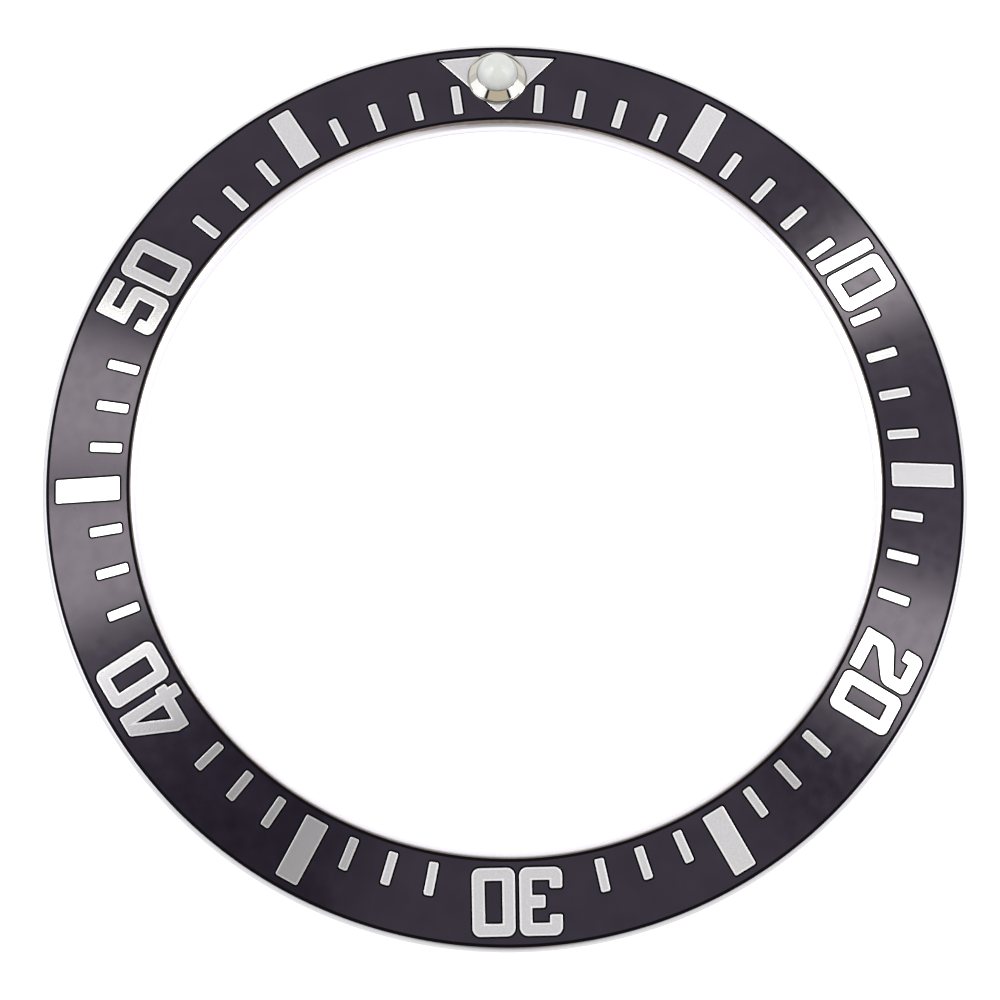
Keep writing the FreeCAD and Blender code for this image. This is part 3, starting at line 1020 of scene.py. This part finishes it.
# %% Follow the camera's look off the face


def mirrored(clock_deg):
    """Where the camera's look goes after the face mirrors it at a clock angle."""
    around = math.radians(clock_deg)
    middle = (face_outer_radius + face_inner_radius) / 2
    point = Vector((middle * math.sin(around), middle * math.cos(around), face_height(middle))) * MM
    ray = (point - camera_place).normalized()
    normal = slope_normal(point)
    return ray - 2 * ray.dot(normal) * normal


for clock_deg in (0, 60, 120, 180, 240, 300):
    print("at", clock_deg, [round(part, 3) for part in mirrored(clock_deg)])

# %% [markdown]
# ## The room
# The room is a soft white tent: bright low down and overhead, with a grey belt between, which is
# what the dark face mirrors between the lamps. It could be built from large lit panels, but a
# world colour that depends on the height of the direction gives the same light and less noise.

# %% The room's brightness by height
# height of the direction, from 0 at the horizon to 1 overhead, and its grey
room_levels = [
    (0.0, 1.05), (0.38, 1.05), (0.44, 0.3), (0.5, 0.3),
    (0.67, 0.86), (0.8, 0.82), (0.92, 0.74), (1.0, 0.74),
]
world = bpy.data.worlds.new("studio")
bpy.context.scene.world = world
world.use_nodes = True
tree = world.node_tree
tree.nodes.clear()
way = add(tree, "ShaderNodeTexCoord").outputs["Generated"]
rise = add(tree, "ShaderNodeSeparateXYZ", {0: way})
level = add(tree, "ShaderNodeValToRGB", {"Fac": rise.outputs["Z"]})
ramp = level.color_ramp
for height, _ in room_levels[1:-1]:
    ramp.elements.new(height)
for stop, (_, grey) in zip(ramp.elements, room_levels):
    stop.color = (grey, grey, grey, 1)
print("room levels at", [round(stop.position, 2) for stop in ramp.elements])

# %% [markdown]
# ## Cards and flags in the room
# A photographer of shiny things puts up white cards and black flags, one for each place on the
# object that needs to be lighter or darker. Here each is a round field of one colour with a
# soft edge, mixed over the room's grey. The face's fields lie where it mirrors them. The others
# are for the cup, whose round wall gathers the whole front of the room into a narrow band.

# %% Cards and flags
# from the horizon up
ANY_HEIGHT = (0, 2)


def towards(x, y, z):
    """A direction, made one unit long."""
    return Vector((x, y, z)).normalized()


def even_grey(level):
    """A colour with all three channels alike."""
    return (level, level, level)


# direction, degrees of full colour round it, degrees to its end, lowest and highest, colour
fields = [
    # the face at 36, 23, 57, 50, 6 and 8 minutes
    (mirrored(219), 8, 12, ANY_HEIGHT, even_grey(0.16)),
    (mirrored(136), 2, 5, ANY_HEIGHT, even_grey(0.2)),
    (mirrored(340), 6, 20, ANY_HEIGHT, even_grey(0.8)),
    (mirrored(302), 2, 6, ANY_HEIGHT, even_grey(0.55)),
    (mirrored(36), 3, 10, ANY_HEIGHT, even_grey(0.94)),
    (mirrored(46), 1, 3, ANY_HEIGHT, even_grey(0.5)),
    # what a level surface mirrors, such as the brim of the cup
    (towards(-camera_place.x, -camera_place.y, camera_place.z), 13, 19, ANY_HEIGHT, even_grey(0.12)),
    # the foot of the cup, in front
    (towards(0.03, -0.95, 0.31), 8, 16, ANY_HEIGHT, (0.3, 0.27, 0.25)),
    # the cup's flanks, left and right
    (towards(-0.86, -0.05, 0.50), 26, 28, ANY_HEIGHT, (1.9, 1.95, 2.05)),
    (towards(0.87, -0.10, 0.48), 25, 27, ANY_HEIGHT, (1.9, 1.95, 2.05)),
    # the warm card in the cup's front, and the dark gaps beside it
    (towards(0.03, -0.57, 0.82), 28, 30, (0.69, 0.86), (0.95, 0.84, 0.68)),
    (towards(-0.52, -0.44, 0.735), 3, 5, ANY_HEIGHT, even_grey(0.03)),
    (towards(0.58, -0.42, 0.70), 3, 5, ANY_HEIGHT, even_grey(0.03)),
    # the two lamps in its flanks
    (towards(-0.82, -0.17, 0.54), 3, 5, ANY_HEIGHT, even_grey(8)),
    (towards(0.78, -0.21, 0.58), 3, 5, ANY_HEIGHT, even_grey(8)),
]
light = level.outputs["Color"]
for direction, inner_deg, outer_deg, (low, high), colour in fields:
    near = add(tree, "ShaderNodeVectorMath", {0: way, 1: direction}, operation="DOT_PRODUCT")
    inside = add(tree, "ShaderNodeMapRange", {
        "Value": near.outputs["Value"], "From Min": math.cos(math.radians(outer_deg)),
        "From Max": math.cos(math.radians(inner_deg))}, interpolation_type="SMOOTHSTEP")
    off_level = add(tree, "ShaderNodeMath", {
        0: rise.outputs["Z"], 1: (low + high) / 2}, operation="SUBTRACT")
    off_level = add(tree, "ShaderNodeMath", {0: off_level.outputs[0]}, operation="ABSOLUTE")
    within = add(tree, "ShaderNodeMath", {
        0: off_level.outputs[0], 1: (high - low) / 2}, operation="LESS_THAN")
    share = add(tree, "ShaderNodeMath", {
        0: inside.outputs["Result"], 1: within.outputs[0]}, operation="MULTIPLY")
    # inputs 6 and 7 are the two colours of a colour mix
    mix = add(tree, "ShaderNodeMix", {0: share.outputs[0], 6: light, 7: (*colour, 1)}, data_type="RGBA")
    light = mix.outputs[2]
print("cards and flags:", len(fields))

# %% [markdown]
# ## The backdrop
# Past the edge of the paper the picture is plain white. Only the camera sees that white, and
# everything else is lit by the room, so the backdrop adds no light to the part.

# %% Join the room and the backdrop
around = add(tree, "ShaderNodeBackground", {"Color": light, "Strength": 1.0})
white = add(tree, "ShaderNodeBackground", {"Color": (1, 1, 1, 1), "Strength": 1.0})
path = add(tree, "ShaderNodeLightPath")
mixed = add(tree, "ShaderNodeMixShader", {
    0: path.outputs["Is Camera Ray"], 1: around.outputs[0], 2: white.outputs[0]})
add(tree, "ShaderNodeOutputWorld", {"Surface": mixed.outputs[0]})
print("nodes in the world:", len(tree.nodes))

# %% [markdown]
# ## Soft boxes
# Four soft boxes give the long bright sheens on the left and right of the face, and the white
# marks in them. Each is an area lamp that fills the directions which the face mirrors between
# two clock angles. A lamp shines along its own -Z, so its Z axis points away from the insert.

# %% Soft boxes
LAMP_DISTANCE = 2.0
LAMP_COLOUR = (0.97, 1.0, 0.86)


def soft_box(name, from_deg, to_deg, tall_deg, brightness):
    """A soft box that the face mirrors between two clock angles."""
    direction = mirrored((from_deg + to_deg) / 2).normalized()
    along = (mirrored(to_deg) - mirrored(from_deg)).normalized()
    across = direction.cross(along).normalized()
    wide = mirrored(to_deg).angle(mirrored(from_deg))
    lamp = bpy.data.lights.new(name, "AREA")
    lamp.shape = "RECTANGLE"
    lamp.size = LAMP_DISTANCE * 2 * math.tan(wide / 2)
    lamp.size_y = LAMP_DISTANCE * 2 * math.tan(math.radians(tall_deg) / 2)
    lamp.energy = brightness * math.pi * lamp.size * lamp.size_y
    lamp.color = LAMP_COLOUR
    holder = bpy.data.objects.new(name, lamp)
    bpy.context.scene.collection.objects.link(holder)
    aim = Matrix((across.cross(direction), across, direction)).transposed()
    holder.matrix_world = Matrix.Translation(direction * LAMP_DISTANCE) @ aim.to_4x4()
    holder.visible_camera = False
    print(name, "energy", round(lamp.energy, 2), "size", round(lamp.size, 3), round(lamp.size_y, 3))


# name, from and to in clock degrees, height in degrees, brightness
soft_box("box_left_low", 252, 269.5, 12, 5.8)
soft_box("box_left_high", 273, 291, 12, 5.8)
soft_box("box_right_high", 55.5, 67, 12, 8.0)
soft_box("box_right_low", 106, 124, 12, 6.0)

# %% [markdown]
# ## Colour management
# Blender's default view transform compresses bright tones, which turns white lacquer grey. The
# standard one shows a colour about as it was written.

# %% Colour management
bpy.context.scene.view_settings.view_transform = "Standard"
print("view transform:", bpy.context.scene.view_settings.view_transform)
